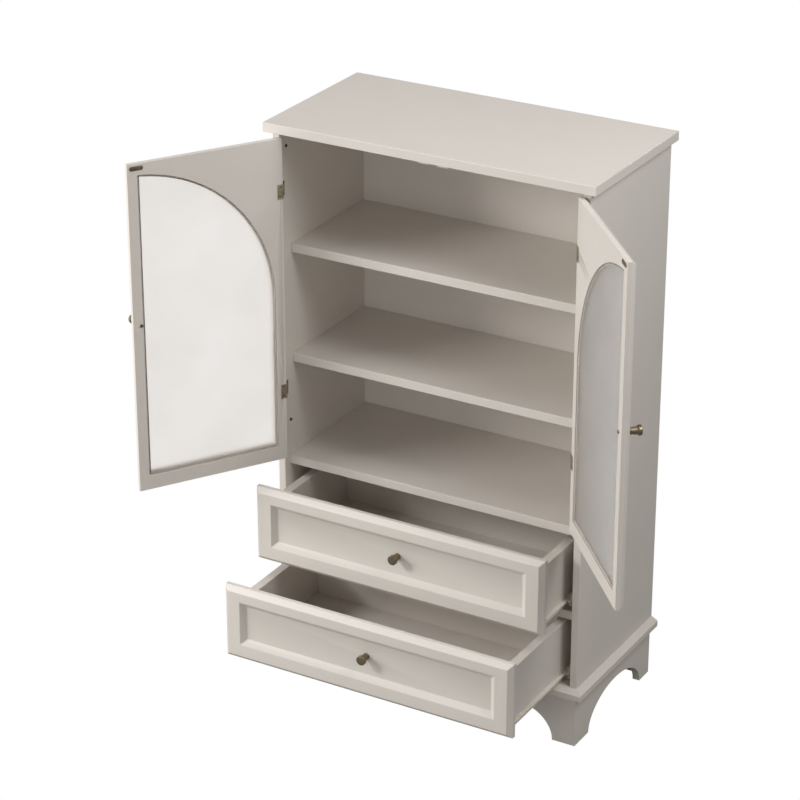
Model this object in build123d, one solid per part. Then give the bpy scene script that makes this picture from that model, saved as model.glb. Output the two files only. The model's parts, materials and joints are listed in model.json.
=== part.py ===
from build123d import *
import math
import os

# Painted two-door armoire: three shelf bays behind inset arched glass doors, with two drawers
# below, on a bracket-foot base. Millimetres. +X right, +Y to the back, +Z up.
# The origin is on the floor, under the middle of the carcass. Both doors and both drawers are
# built closed and then moved to their places in the stored pose.

# Carcass
WIDTH = 800.0
DEPTH = 400.0
SIDE = 18.0  # side panels
BOARD = 22.0  # top, shelves, door frames and drawer fronts
TOP_UNDERSIDE = 1369.0
TOP_OVERHANG_FRONT = 15.0
TOP_OVERHANG_SIDE = 17.0
UPPER_SHELF_TOP = 1088.0
MIDDLE_SHELF_TOP = 812.5
LOWER_SHELF_TOP = 556.0
RAIL_TOP = 340.0
SHELF_RECESS = 41.0  # upper and middle shelves behind the carcass front
FRONT_GAP = 0.3  # closed drawer front to the shelf and rail behind it
RAIL_DEPTH = 80.0
BACK_FACE = 169.0  # front face of the back panel
BACK_THICK = 6.0
GROOVE = 6.0  # back panel into each side panel

# Base
BASE_TOP = 156.5
PLATFORM = 24.0
MOULDING_OUT = 16.5
MOULDING_BEVEL = 9.4
APRON_SETBACK = 3.0
APRON = 18.0
ARCH_HEIGHT = 79.0
FOOT_WIDTH = 59.0  # each front foot, across the front
FRONT_CURVE = 98.0  # how far in from a foot the front arch runs level
SIDE_ARCH_HALF = 137.5
SIDE_ARCH_CENTRE = 12.5  # behind the middle, so the rear feet are the slimmer
BLOCK = 30.0
BLOCK_HEIGHT = 100.0

# Doors
DOOR_BOTTOM = 562.0
DOOR_TOP = 1359.0
HINGE_GAP = 2.5
MEETING_GAP = 3.0
EDGE_BEVEL = 11.5  # bevel round the outer edges of doors and drawer fronts
LEFT_OPEN = 121.8  # degrees open in the stored pose
RIGHT_OPEN = 131.8
WINDOW_RADIUS = 356.0  # rebate arch, one circle across both doors
ARCH_CENTRE_Z = DOOR_BOTTOM + 414.0
BOTTOM_RAIL = 35.0
MEETING_STILE = 25.0
GLASS_LIP = 5.0
REBATE_DEPTH = 9.0
GLASS = 4.0
GLASS_PLAY = 0.7
BEAD_HEIGHT = 3.0
BEAD_PLAY = 1.5

# Hinges
PIVOT_X = WIDTH / 2 - SIDE + 1.0
PIVOT_Y = -DEPTH / 2 + 5.5
BARREL_R = 3.0
PIN_R = 1.25
PIN_PLAY = 0.05
LEAF = 1.0
LEAF_HEIGHT = 36.0
FRAME_LEAF_END = 17.0  # back from the carcass front
DOOR_LEAF_WIDTH = 14.0
HINGE_ZS = (DOOR_BOTTOM + 174.0, DOOR_TOP - 128.0)
KNUCKLES = 5
KNUCKLE_PLAY = 0.3
MORTISE_PLAY = 0.5
HINGE_SCREW_R = 1.5
HINGE_HEAD_R = 2.6
HINGE_SCREW_LENGTH = 11.0
HINGE_SCREW_Z = 11.0  # each screw above or below its hinge's middle
FRAME_SCREW_IN = 4.0  # in front of the frame leaf's rear edge

# Knobs, strike plates, catches and studs
KNOB_LENGTH = 27.0
KNOB_CAP = 8.0
KNOB_CAP_R = 11.5
KNOB_NECK_R = 8.3
KNOB_FOOT_R = 7.5
DRAWER_KNOB_RISE = 8.0  # above the middle of a drawer's front
DOOR_KNOB_S = 358.0  # in from the door's hinge edge
DOOR_KNOB_H = 411.5  # up from the door's bottom edge
KNOB_SCREW_R = 2.0
KNOB_SCREW_HEAD_R = 4.0
KNOB_SCREW_HEAD = 2.5
KNOB_SCREW_BITE = 10.0
STRIKE_S = 355.6
STRIKE_H = 785.7
STRIKE_LENGTH = 33.0
STRIKE_HEIGHT = 10.5
STRIKE_THICK = 1.0
CATCH_LENGTH = 40.0
CATCH_DEPTH = 16.0
CATCH_HEIGHT = 19.5
STUD_R = 3.8
STUD_OUT = 3.0
STUD_Y = 26.5  # back from the carcass front
STUD_ZS = (1329.0, 647.0)

# Drawers
FRONT_HEIGHT = 188.5
FRONT_SIDE_GAP = 3.5
UPPER_FRONT_TOP = 541.5
LOWER_FRONT_TOP = 350.0
UPPER_OUT = 142.5  # how far out in the stored pose
LOWER_OUT = 283.7
FIELD_BAND_SIDE = 43.5
FIELD_BAND_TOP = 35.0
FIELD_BAND_BOTTOM = 42.0
FIELD_BEVEL = 13.0
FIELD_DEPTH = 12.0
BOX_HALF = 354.5
BOX_SIDE = 22.0
BOX_BACK = 16.0
BOX_LENGTH = 335.0
BOX_DROP = 38.0  # top of the box below the top of the front
BOX_FOOT = 186.5  # bottom of the box below the top of the front
BOX_BOTTOM = 6.0
BOX_BOTTOM_UP = 12.0
BOX_GROOVE = 6.0

# Roller slides
STEEL = 1.2
CLEAT = 15.0
CLEAT_HEIGHT = 40.0
SLIDE_START = 175.0  # front end of the cabinet member, in front of the carcass centre
SLIDE_LENGTH = 335.0
LEG_HEIGHT = 16.0
LEG_UNDER = 12.0
FLANGE_TIP = 364.0
CHANNEL_LIP = 357.0
CHANNEL_TOP = 21.0
CHANNEL_FLOOR = 1.0  # channel floor below the bottom of the box
ROLLER_R = 7.0
ROLLER_PLAY = 0.1
ROLLER_IN = 357.5
ROLLER_OUT = 364.5
AXLE_R = 2.0
AXLE_PLAY = 0.05
FRONT_ROLLER_Y = -168.0
REAR_ROLLER_BACK = 10.0  # rear roller's axle in front of the box's rear end

# Dowels
DOWEL_R = 4.0
DOWEL_LENGTH = 30.0
DOWEL_IN_SIDE = 10.0
SHELF_DOWEL_YS = (-100.0, 110.0)
RAIL_DOWEL_IN = 20.0  # in from the rail's front and rear edges
END_DOWEL_Y = 120.0  # in front of and behind the middle of a side panel
END_DOWEL_IN_SIDE = 18.0
END_DOWEL_PAST = 12.0  # past the side panel's end

OVERCUT = 1.0  # how far a cutting shape runs past the face it cuts

FRONT = -DEPTH / 2
BACK = DEPTH / 2
INNER = WIDTH / 2 - SIDE
PLATFORM_BOTTOM = BASE_TOP - PLATFORM
DOOR_EDGE = INNER - HINGE_GAP
DOOR_BACK = FRONT + BOARD
LOWER_SHELF_FRONT = DOOR_BACK + FRONT_GAP
CLEAT_FACE = INNER - CLEAT


def block(x, y, z):
    """A box between pairs of limits."""
    size = (x[1] - x[0], y[1] - y[0], z[1] - z[0])
    middle = ((x[0] + x[1]) / 2, (y[0] + y[1]) / 2, (z[0] + z[1]) / 2)
    return Pos(*middle) * Box(*size)


def prism_up(points, z):
    """A floor-plan outline raised between two heights."""
    return Pos(0, 0, z[0]) * extrude(make_face(Polyline(*points, close=True)), z[1] - z[0])


def prism_back(face, y):
    """A face drawn on XZ, made solid between two depths."""
    return Pos(0, y[1], 0) * extrude(Plane.XZ * face, y[1] - y[0])


def rod_x(radius, x, y, z):
    """A round bar along X between two limits."""
    return Pos((x[0] + x[1]) / 2, y, z) * Rot(0, 90, 0) * Cylinder(radius, x[1] - x[0])


def rod_y(radius, x, y, z):
    """A round bar along Y between two limits."""
    return Pos(x, (y[0] + y[1]) / 2, z) * Rot(90, 0, 0) * Cylinder(radius, y[1] - y[0])


def rod_z(radius, x, y, z):
    """A round bar along Z between two limits."""
    return Pos(x, y, (z[0] + z[1]) / 2) * Cylinder(radius, z[1] - z[0])


def other_side(solid):
    """The same piece on the other side of the cabinet."""
    return mirror(solid, Plane.YZ)


def pair(solid):
    """A piece and its mirror image."""
    return [solid, other_side(solid)]


def minus(body, tools):
    """A body with each tool cut out of it."""
    for tool in tools:
        body = body - tool
    return body


# ---------------------------------------------------------------- carcass


def shelf_dowels():
    """Dowels that hold the shelves and the drawer rail between the side panels."""
    ends = (INNER + DOWEL_IN_SIDE - DOWEL_LENGTH, INNER + DOWEL_IN_SIDE)
    rail_front, rail_rear = LOWER_SHELF_FRONT, LOWER_SHELF_FRONT + RAIL_DEPTH
    rail_ys = (rail_front + RAIL_DOWEL_IN, rail_rear - RAIL_DOWEL_IN)
    shelf_tops = (UPPER_SHELF_TOP, MIDDLE_SHELF_TOP, LOWER_SHELF_TOP)
    places = [(y, top) for top in shelf_tops for y in SHELF_DOWEL_YS]
    places += [(y, RAIL_TOP) for y in rail_ys]
    return [d for y, top in places for d in pair(rod_x(DOWEL_R, ends, y, top - BOARD / 2))]


def end_dowels():
    """Dowels that stand in the ends of the side panels, into the top and the platform."""
    middle = WIDTH / 2 - SIDE / 2
    upper = (TOP_UNDERSIDE - END_DOWEL_IN_SIDE, TOP_UNDERSIDE + END_DOWEL_PAST)
    lower = (BASE_TOP - END_DOWEL_PAST, BASE_TOP + END_DOWEL_IN_SIDE)
    places = [(y, z) for z in (upper, lower) for y in (-END_DOWEL_Y, END_DOWEL_Y)]
    return [d for y, z in places for d in pair(rod_z(DOWEL_R, middle, y, z))]


def top_panel(dowels):
    outer = WIDTH / 2 + TOP_OVERHANG_SIDE
    top = (TOP_UNDERSIDE, TOP_UNDERSIDE + BOARD)
    return minus(block((-outer, outer), (FRONT - TOP_OVERHANG_FRONT, BACK), top), dowels)


def hinge_mortise(z):
    """The space in the side panel's front inner corner for one hinge barrel."""
    reach = BARREL_R + MORTISE_PLAY
    height = (z - LEAF_HEIGHT / 2, z + LEAF_HEIGHT / 2)
    return block((INNER - OVERCUT, PIVOT_X + reach), (FRONT - OVERCUT, PIVOT_Y + reach), height)


def right_side_panel(tools):
    panel = block((INNER, WIDTH / 2), (FRONT, BACK), (BASE_TOP, TOP_UNDERSIDE))
    groove_y = (BACK_FACE, BACK_FACE + BACK_THICK)
    groove = block((INNER, INNER + GROOVE), groove_y, (BASE_TOP, TOP_UNDERSIDE))
    mortises = [hinge_mortise(z) for z in HINGE_ZS]
    return minus(panel, [groove, *mortises, *tools])


def back_panel():
    half = INNER + GROOVE
    return block((-half, half), (BACK_FACE, BACK_FACE + BACK_THICK), (BASE_TOP, TOP_UNDERSIDE))


def shelf(top, front, dowels):
    return minus(block((-INNER, INNER), (front, BACK_FACE), (top - BOARD, top)), dowels)


def drawer_rail(dowels):
    depth = (LOWER_SHELF_FRONT, LOWER_SHELF_FRONT + RAIL_DEPTH)
    return minus(block((-INNER, INNER), depth, (RAIL_TOP - BOARD, RAIL_TOP)), dowels)


def door_stop_studs():
    studs = [rod_x(STUD_R, (INNER - STUD_OUT, INNER), FRONT + STUD_Y, z) for z in STUD_ZS]
    return [s for stud in studs for s in pair(stud)]


def magnetic_catches():
    """One catch under the top for each door, just behind the closed strike plate."""
    x = DOOR_EDGE - STRIKE_S
    front = DOOR_BACK + STRIKE_THICK + FRONT_GAP
    catch = block(
        (x - CATCH_LENGTH / 2, x + CATCH_LENGTH / 2),
        (front, front + CATCH_DEPTH),
        (TOP_UNDERSIDE - CATCH_HEIGHT, TOP_UNDERSIDE),
    )
    return pair(catch)


# ---------------------------------------------------------------- base


def base_platform(dowels):
    half = WIDTH / 2
    return minus(block((-half, half), (FRONT, BACK), (PLATFORM_BOTTOM, BASE_TOP)), dowels)


def moulding(run, corners):
    """A bevelled strip along a run of the platform, mitred to the outline of its corners."""
    profile = [(0, 0), (MOULDING_OUT, 0), (MOULDING_OUT, PLATFORM - MOULDING_BEVEL), (0, PLATFORM)]
    strip = extrude(run * make_face(Polyline(*profile, close=True)), 2 * WIDTH, both=True)
    return strip & prism_up(corners, (PLATFORM_BOTTOM, BASE_TOP))


def front_moulding():
    inner, outer = WIDTH / 2, WIDTH / 2 + MOULDING_OUT
    run = Plane((0, FRONT, PLATFORM_BOTTOM), x_dir=(0, -1, 0), z_dir=(-1, 0, 0))
    front = FRONT - MOULDING_OUT
    return moulding(run, [(-outer, front), (outer, front), (inner, FRONT), (-inner, FRONT)])


def right_moulding():
    inner, outer = WIDTH / 2, WIDTH / 2 + MOULDING_OUT
    run = Plane((inner, 0, PLATFORM_BOTTOM), x_dir=(1, 0, 0), z_dir=(0, -1, 0))
    return moulding(run, [(inner, FRONT), (outer, FRONT - MOULDING_OUT), (outer, BACK), (inner, BACK)])


def wide_arch(y):
    """The cut-out under the front or back apron: level in the middle, a quarter ellipse at each foot."""
    foot_edge = WIDTH / 2 - APRON_SETBACK - FOOT_WIDTH
    centre = foot_edge - FRONT_CURVE
    ends = [prism_back(Pos(s * centre, 0) * Ellipse(FRONT_CURVE, ARCH_HEIGHT), y) for s in (-1, 1)]
    return ends + [block((-centre, centre), y, (-OVERCUT, ARCH_HEIGHT))]


def front_apron():
    outer = WIDTH / 2 - APRON_SETBACK
    front = FRONT + APRON_SETBACK
    inner = outer - APRON
    corners = [(-outer, front), (outer, front), (inner, front + APRON), (-inner, front + APRON)]
    board = prism_up(corners, (0, PLATFORM_BOTTOM))
    return minus(board, wide_arch((front - OVERCUT, front + APRON + OVERCUT)))


def back_apron():
    inner = WIDTH / 2 - APRON_SETBACK - APRON
    board = block((-inner, inner), (BACK - APRON, BACK), (0, PLATFORM_BOTTOM))
    return minus(board, wide_arch((BACK - APRON - OVERCUT, BACK + OVERCUT)))


def right_apron():
    outer = WIDTH / 2 - APRON_SETBACK
    inner = outer - APRON
    front = FRONT + APRON_SETBACK
    corners = [(inner, front + APRON), (outer, front), (outer, BACK), (inner, BACK)]
    board = prism_up(corners, (0, PLATFORM_BOTTOM))
    arch = Plane.YZ.offset(inner - OVERCUT) * Pos(SIDE_ARCH_CENTRE, 0) * Ellipse(SIDE_ARCH_HALF, ARCH_HEIGHT)
    return board - extrude(arch, APRON + 2 * OVERCUT)


def corner_blocks():
    """Glue blocks in the corners of the base, clear of the floor."""
    outer = WIDTH / 2 - APRON_SETBACK - APRON
    front = FRONT + APRON_SETBACK + APRON
    back = BACK - APRON
    z = (PLATFORM_BOTTOM - BLOCK_HEIGHT, PLATFORM_BOTTOM)
    x = (outer - BLOCK, outer)
    return pair(block(x, (front, front + BLOCK), z)) + pair(block(x, (back - BLOCK, back), z))


# ---------------------------------------------------------------- door, built closed on the right


def hinge_screw(head, direction):
    """A countersunk screw, flush with the leaf at its head, pointing along direction."""
    point = HINGE_SCREW_LENGTH - LEAF
    cone = Pos(0, 0, LEAF / 2) * Cone(HINGE_HEAD_R, HINGE_SCREW_R, LEAF)
    shank = Pos(0, 0, LEAF + point / 2) * Cylinder(HINGE_SCREW_R, point)
    return Plane(head, z_dir=direction) * (cone + shank)


def frame_leaf_screws(z):
    y = FRONT + FRAME_LEAF_END - FRAME_SCREW_IN
    zs = (z - HINGE_SCREW_Z, z + HINGE_SCREW_Z)
    return [hinge_screw((INNER - LEAF, y, each), (1, 0, 0)) for each in zs]


def door_leaf_screws(z):
    x = DOOR_EDGE - DOOR_LEAF_WIDTH / 2
    zs = (z - HINGE_SCREW_Z, z + HINGE_SCREW_Z)
    return [hinge_screw((x, DOOR_BACK + LEAF, each), (0, -1, 0)) for each in zs]


def knuckles(z, first):
    """Every second knuckle of the barrel, starting at number first, with its pin bore."""
    step = LEAF_HEIGHT / KNUCKLES
    bottom = z - LEAF_HEIGHT / 2
    half_play = KNUCKLE_PLAY / 2
    turns = range(first, KNUCKLES, 2)
    spans = [(bottom + n * step + half_play, bottom + (n + 1) * step - half_play) for n in turns]
    return [rod_z(BARREL_R, PIVOT_X, PIVOT_Y, span) for span in spans], spans


def hinge_leaf(z, first, plates):
    """A leaf: its knuckles joined to its plates, with the plates cut away from the other knuckles."""
    rolled, spans = knuckles(z, first)
    leaf = plates[0]
    for plate in plates[1:]:
        leaf = leaf + plate
    reach = BARREL_R + MORTISE_PLAY
    around = (PIVOT_X - reach - OVERCUT, PIVOT_X + reach), (PIVOT_Y - reach, PIVOT_Y + reach)
    leaf = leaf - block(*around, (z - LEAF_HEIGHT, z + LEAF_HEIGHT))
    for knuckle, span in zip(rolled, spans):
        neck = plates[0] & block(*around, span)
        leaf = leaf + neck + knuckle
    bore = rod_z(PIN_R + PIN_PLAY, PIVOT_X, PIVOT_Y, (z - LEAF_HEIGHT, z + LEAF_HEIGHT))
    return leaf - bore


def frame_hinge_leaf(z):
    height = (z - LEAF_HEIGHT / 2 + KNUCKLE_PLAY / 2, z + LEAF_HEIGHT / 2 - KNUCKLE_PLAY / 2)
    plate = block((INNER - LEAF, INNER), (PIVOT_Y + BARREL_R / 2, FRONT + FRAME_LEAF_END), height)
    return minus(hinge_leaf(z, 0, [plate]), frame_leaf_screws(z))


def door_hinge_leaf(z):
    """The door's leaf: along the door's edge from the barrel, then round onto the inner face."""
    height = (z - LEAF_HEIGHT / 2 + KNUCKLE_PLAY / 2, z + LEAF_HEIGHT / 2 - KNUCKLE_PLAY / 2)
    web = block((DOOR_EDGE, DOOR_EDGE + LEAF), (PIVOT_Y + BARREL_R / 2, DOOR_BACK + LEAF), height)
    wrap = block((DOOR_EDGE - DOOR_LEAF_WIDTH, DOOR_EDGE), (DOOR_BACK, DOOR_BACK + LEAF), height)
    return minus(hinge_leaf(z, 1, [web, wrap]), door_leaf_screws(z))


def hinge_pin(z):
    return rod_z(PIN_R, PIVOT_X, PIVOT_Y, (z - LEAF_HEIGHT / 2, z + LEAF_HEIGHT / 2))


def window_face(inset):
    """The window outline on XZ: bottom rail, two stiles and one arc of the shared arch."""
    radius = WINDOW_RADIUS - inset
    meeting = MEETING_GAP / 2 + MEETING_STILE + inset
    bottom = DOOR_BOTTOM + BOTTOM_RAIL + inset
    top = ARCH_CENTRE_Z + math.sqrt(radius**2 - meeting**2)
    halfway = math.radians(45)
    on_arch = (radius * math.cos(halfway), ARCH_CENTRE_Z + radius * math.sin(halfway))
    sides = Polyline((meeting, top), (meeting, bottom), (radius, bottom), (radius, ARCH_CENTRE_Z))
    arch = ThreePointArc((radius, ARCH_CENTRE_Z), on_arch, (meeting, top))
    return make_face(sides + arch)


def bevelled_front(x, z):
    """A board with its outer edges bevelled, as the doors and the drawer fronts have."""
    board = block(x, (FRONT, DOOR_BACK), z)
    return chamfer(board.faces().sort_by(Axis.Y)[0].edges(), EDGE_BEVEL)


def door_frame(tools):
    frame = bevelled_front((MEETING_GAP / 2, DOOR_EDGE), (DOOR_BOTTOM, DOOR_TOP))
    frame = frame - prism_back(window_face(GLASS_LIP), (FRONT - OVERCUT, DOOR_BACK + OVERCUT))
    frame = frame - prism_back(window_face(0), (DOOR_BACK - REBATE_DEPTH, DOOR_BACK + OVERCUT))
    return minus(frame, tools)


def door_glass():
    y = DOOR_BACK - REBATE_DEPTH
    return prism_back(window_face(GLASS_PLAY), (y, y + GLASS))


def glazing_bead():
    y = DOOR_BACK - REBATE_DEPTH + GLASS
    ring = prism_back(window_face(BEAD_PLAY), (y, y + BEAD_HEIGHT))
    return ring - prism_back(window_face(GLASS_LIP), (y - OVERCUT, y + BEAD_HEIGHT + OVERCUT))


def knob(x, z, surface):
    """A T-shaped knob that stands out of a front face, with a blind hole for its screw."""
    neck = KNOB_LENGTH - KNOB_CAP
    stem = [(0, 0), (KNOB_FOOT_R, 0), (KNOB_NECK_R, neck)]
    cap = [(KNOB_CAP_R, neck), (KNOB_CAP_R, KNOB_LENGTH), (0, KNOB_LENGTH)]
    turned = revolve(Plane.XZ * make_face(Polyline(*stem, *cap, close=True)), Axis.Z)
    placed = Plane((x, surface, z), z_dir=(0, -1, 0)) * turned
    return placed - rod_y(KNOB_SCREW_R, x, (surface - KNOB_SCREW_BITE, surface + OVERCUT), z)


def knob_screw(x, z, surface, behind):
    """The screw from behind the board into the knob's foot."""
    shank = rod_y(KNOB_SCREW_R, x, (surface - KNOB_SCREW_BITE, behind), z)
    return shank + rod_y(KNOB_SCREW_HEAD_R, x, (behind, behind + KNOB_SCREW_HEAD), z)


def strike_plate():
    x = DOOR_EDGE - STRIKE_S
    outline = Pos(x, DOOR_BOTTOM + STRIKE_H) * SlotOverall(STRIKE_LENGTH, STRIKE_HEIGHT)
    return prism_back(outline, (DOOR_BACK, DOOR_BACK + STRIKE_THICK))


def door_pieces():
    """Every piece that swings with the right door, closed, by the end of its name."""
    knob_x = DOOR_EDGE - DOOR_KNOB_S
    knob_z = DOOR_BOTTOM + DOOR_KNOB_H
    screw = knob_screw(knob_x, knob_z, FRONT, DOOR_BACK)
    leaf_screws = [s for z in HINGE_ZS for s in door_leaf_screws(z)]
    return {
        "door_frame": [door_frame([screw, *leaf_screws])],
        "door_glass": [door_glass()],
        "glazing_bead": [glazing_bead()],
        "door_knob": [knob(knob_x, knob_z, FRONT)],
        "strike_plate": [strike_plate()],
        "door_hinge_leaves": [door_hinge_leaf(z) for z in HINGE_ZS],
        "door_screws": [screw, *leaf_screws],
    }


# ---------------------------------------------------------------- drawer, built closed


def field_cut(top, tools):
    """The sunk field of a drawer front, with its sloping border, and the screw hole."""
    half = WIDTH / 2 - SIDE - FRONT_SIDE_GAP - FIELD_BAND_SIDE
    low, high = top - FRONT_HEIGHT + FIELD_BAND_BOTTOM, top - FIELD_BAND_TOP
    mid = (low + high) / 2
    rims = []
    for depth, shrink in ((0.0, 0.0), (FIELD_DEPTH, FIELD_BEVEL)):
        size = (2 * (half - shrink), high - low - 2 * shrink)
        face_on = Plane((0, FRONT + depth, mid), x_dir=(1, 0, 0), z_dir=(0, -1, 0))
        rims.append(face_on * Rectangle(*size))
    return [loft(rims), *tools]


def drawer_front(top, tools):
    half = INNER - FRONT_SIDE_GAP
    board = bevelled_front((-half, half), (top - FRONT_HEIGHT, top))
    return minus(board, field_cut(top, tools))


def drawer_bottom(top):
    foot = top - BOX_FOOT + BOX_BOTTOM_UP
    half = BOX_HALF - BOX_SIDE + BOX_GROOVE
    back = DOOR_BACK + BOX_LENGTH - BOX_BACK
    return block((-half, half), (DOOR_BACK, back), (foot, foot + BOX_BOTTOM))


def drawer_side(top, bottom):
    """The right side of a drawer box, grooved for the bottom."""
    length = (DOOR_BACK, DOOR_BACK + BOX_LENGTH)
    side = block((BOX_HALF - BOX_SIDE, BOX_HALF), length, (top - BOX_FOOT, top - BOX_DROP))
    return side - bottom


def drawer_back(top):
    """The back of a drawer box, between the sides and behind the bottom's rear edge."""
    half = BOX_HALF - BOX_SIDE
    back = DOOR_BACK + BOX_LENGTH
    z = (top - BOX_FOOT + BOX_BOTTOM_UP, top - BOX_DROP)
    return block((-half, half), (back - BOX_BACK, back), z)


def drawer_slide(top):
    """The right drawer member: an L under the side, an outward flange and the rear roller's axle."""
    foot = top - BOX_FOOT
    y = (DOOR_BACK + FRONT_GAP, DOOR_BACK + BOX_LENGTH)
    leg = block((BOX_HALF, BOX_HALF + STEEL), y, (foot - STEEL, foot + LEG_HEIGHT))
    under = block((BOX_HALF - LEG_UNDER, BOX_HALF), y, (foot - STEEL, foot))
    flange_z = (foot + LEG_HEIGHT - STEEL, foot + LEG_HEIGHT)
    flange = block((BOX_HALF + STEEL, FLANGE_TIP), y, flange_z)
    axle = rod_x(AXLE_R, (BOX_HALF, ROLLER_OUT), y[1] - REAR_ROLLER_BACK, rear_roller_z(foot))
    return leg + under + flange + axle


def rear_roller_z(foot):
    return foot - CHANNEL_FLOOR + ROLLER_R + ROLLER_PLAY


def front_roller_z(foot):
    return foot + LEG_HEIGHT - STEEL - ROLLER_R - ROLLER_PLAY


def cabinet_slide(top):
    """The right cabinet member: a channel on its cleat, with the front roller's axle."""
    foot = top - BOX_FOOT
    y = (-SLIDE_START, -SLIDE_START + SLIDE_LENGTH)
    low, high = foot - CHANNEL_FLOOR, foot + CHANNEL_TOP
    web = block((CLEAT_FACE - STEEL, CLEAT_FACE), y, (low - STEEL, high + STEEL))
    floor = block((CHANNEL_LIP, CLEAT_FACE - STEEL), y, (low - STEEL, low))
    roof = block((CHANNEL_LIP, CLEAT_FACE - STEEL), y, (high, high + STEEL))
    axle = rod_x(AXLE_R, (ROLLER_IN, CLEAT_FACE), FRONT_ROLLER_Y, front_roller_z(foot))
    return web + floor + roof + axle


def runner_cleat(top):
    """The strip that carries a cabinet slide, no lower than the slide's own underside."""
    middle = top - BOX_FOOT + (CHANNEL_TOP - CHANNEL_FLOOR) / 2
    lowest = top - BOX_FOOT - CHANNEL_FLOOR - STEEL
    z = (max(middle - CLEAT_HEIGHT / 2, lowest), middle + CLEAT_HEIGHT / 2)
    return block((CLEAT_FACE, INNER), (-SLIDE_START, BACK_FACE), z)


def roller(y, z):
    wheel = rod_x(ROLLER_R, (ROLLER_IN, ROLLER_OUT), y, z)
    return wheel - rod_x(AXLE_R + AXLE_PLAY, (ROLLER_IN - OVERCUT, ROLLER_OUT + OVERCUT), y, z)


def front_rollers(top):
    return pair(roller(FRONT_ROLLER_Y, front_roller_z(top - BOX_FOOT)))


def drawer_pieces(top):
    """Every piece that slides with a drawer, closed, by the end of its name."""
    knob_z = top - FRONT_HEIGHT / 2 + DRAWER_KNOB_RISE
    field = FRONT + FIELD_DEPTH
    screw = knob_screw(0, knob_z, field, DOOR_BACK)
    bottom = drawer_bottom(top)
    side = drawer_side(top, bottom)
    rear_y = DOOR_BACK + BOX_LENGTH - REAR_ROLLER_BACK
    return {
        "drawer_front": [drawer_front(top, [screw])],
        "drawer_left_side": [other_side(side)],
        "drawer_right_side": [side],
        "drawer_back": [drawer_back(top)],
        "drawer_bottom": [bottom],
        "drawer_knob": [knob(0, knob_z, field)],
        "knob_screw": [screw],
        "drawer_slides": pair(drawer_slide(top)),
        "rear_rollers": pair(roller(rear_y, rear_roller_z(top - BOX_FOOT))),
    }


# ---------------------------------------------------------------- assembly


def carcass_pieces():
    across, upright = shelf_dowels(), end_dowels()
    frame_screws = [s for z in HINGE_ZS for s in frame_leaf_screws(z)]
    side = right_side_panel([*across, *upright, *frame_screws])
    tops = (UPPER_FRONT_TOP, LOWER_FRONT_TOP)
    return {
        "top_panel": [top_panel(upright)],
        "left_side_panel": [other_side(side)],
        "right_side_panel": [side],
        "back_panel": [back_panel()],
        "upper_shelf": [shelf(UPPER_SHELF_TOP, FRONT + SHELF_RECESS, across)],
        "middle_shelf": [shelf(MIDDLE_SHELF_TOP, FRONT + SHELF_RECESS, across)],
        "lower_shelf": [shelf(LOWER_SHELF_TOP, LOWER_SHELF_FRONT, across)],
        "drawer_rail": [drawer_rail(across)],
        "dowels": [*across, *upright],
        "base_platform": [base_platform(upright)],
        "front_moulding": [front_moulding()],
        "left_moulding": [other_side(right_moulding())],
        "right_moulding": [right_moulding()],
        "front_apron": [front_apron()],
        "back_apron": [back_apron()],
        "left_apron": [other_side(right_apron())],
        "right_apron": [right_apron()],
        "corner_blocks": corner_blocks(),
        "door_stop_studs": door_stop_studs(),
        "magnetic_catches": magnetic_catches(),
        "frame_hinge_leaves": [s for z in HINGE_ZS for s in pair(frame_hinge_leaf(z))],
        "hinge_pins": [s for z in HINGE_ZS for s in pair(hinge_pin(z))],
        "frame_hinge_screws": [s for screw in frame_screws for s in pair(screw)],
        "runner_cleats": [s for top in tops for s in pair(runner_cleat(top))],
        "cabinet_slides": [s for top in tops for s in pair(cabinet_slide(top))],
        "upper_front_rollers": front_rollers(UPPER_FRONT_TOP),
        "lower_front_rollers": front_rollers(LOWER_FRONT_TOP),
    }


def placed_pieces():
    """All pieces by node name, in the stored pose."""
    pieces = carcass_pieces()
    right_axis = Axis((PIVOT_X, PIVOT_Y, 0), (0, 0, 1))
    left_axis = Axis((-PIVOT_X, PIVOT_Y, 0), (0, 0, 1))
    for name, solids in door_pieces().items():
        pieces["right_" + name] = [s.rotate(right_axis, RIGHT_OPEN) for s in solids]
        pieces["left_" + name] = [other_side(s).rotate(left_axis, -LEFT_OPEN) for s in solids]
    drawers = (("upper", UPPER_FRONT_TOP, UPPER_OUT), ("lower", LOWER_FRONT_TOP, LOWER_OUT))
    for place, top, out in drawers:
        for name, solids in drawer_pieces(top).items():
            pieces[place + "_" + name] = [Pos(0, -out, 0) * s for s in solids]
    return pieces


def main():
    os.makedirs("parts", exist_ok=True)
    for name, solids in placed_pieces().items():
        whole = solids[0] if len(solids) == 1 else Compound(children=solids)
        export_step(whole, f"parts/{name}.step")


main()
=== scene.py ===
import json
import math

import bmesh
import bpy
from mathutils import Matrix, Vector


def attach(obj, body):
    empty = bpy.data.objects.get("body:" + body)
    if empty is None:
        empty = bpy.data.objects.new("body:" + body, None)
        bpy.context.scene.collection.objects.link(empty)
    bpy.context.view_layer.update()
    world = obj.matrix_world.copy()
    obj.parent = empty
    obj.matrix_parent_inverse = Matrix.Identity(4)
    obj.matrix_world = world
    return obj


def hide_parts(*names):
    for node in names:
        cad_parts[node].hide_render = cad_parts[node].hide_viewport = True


bl_info = {
    "name": "Painted armoire",
    "version": (1, 0, 0),
    "blender": (4, 5, 0),
    "location": "3D View > Sidebar > Armoire",
    "description": "Builds the finish, fittings and studio of a painted two-door armoire",
    "category": "Object",
}

MM = 0.001
FULL_TURN = math.tau
WELD = 0.002 * MM  # points closer than this are one point
FLAT = math.radians(0.3)  # faces that turn less than this are one face
CORNER = math.radians(30)  # edges that turn more than this are eased
RIM = math.radians(40)  # edges that turn more than this are rounded on a turned piece

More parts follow.
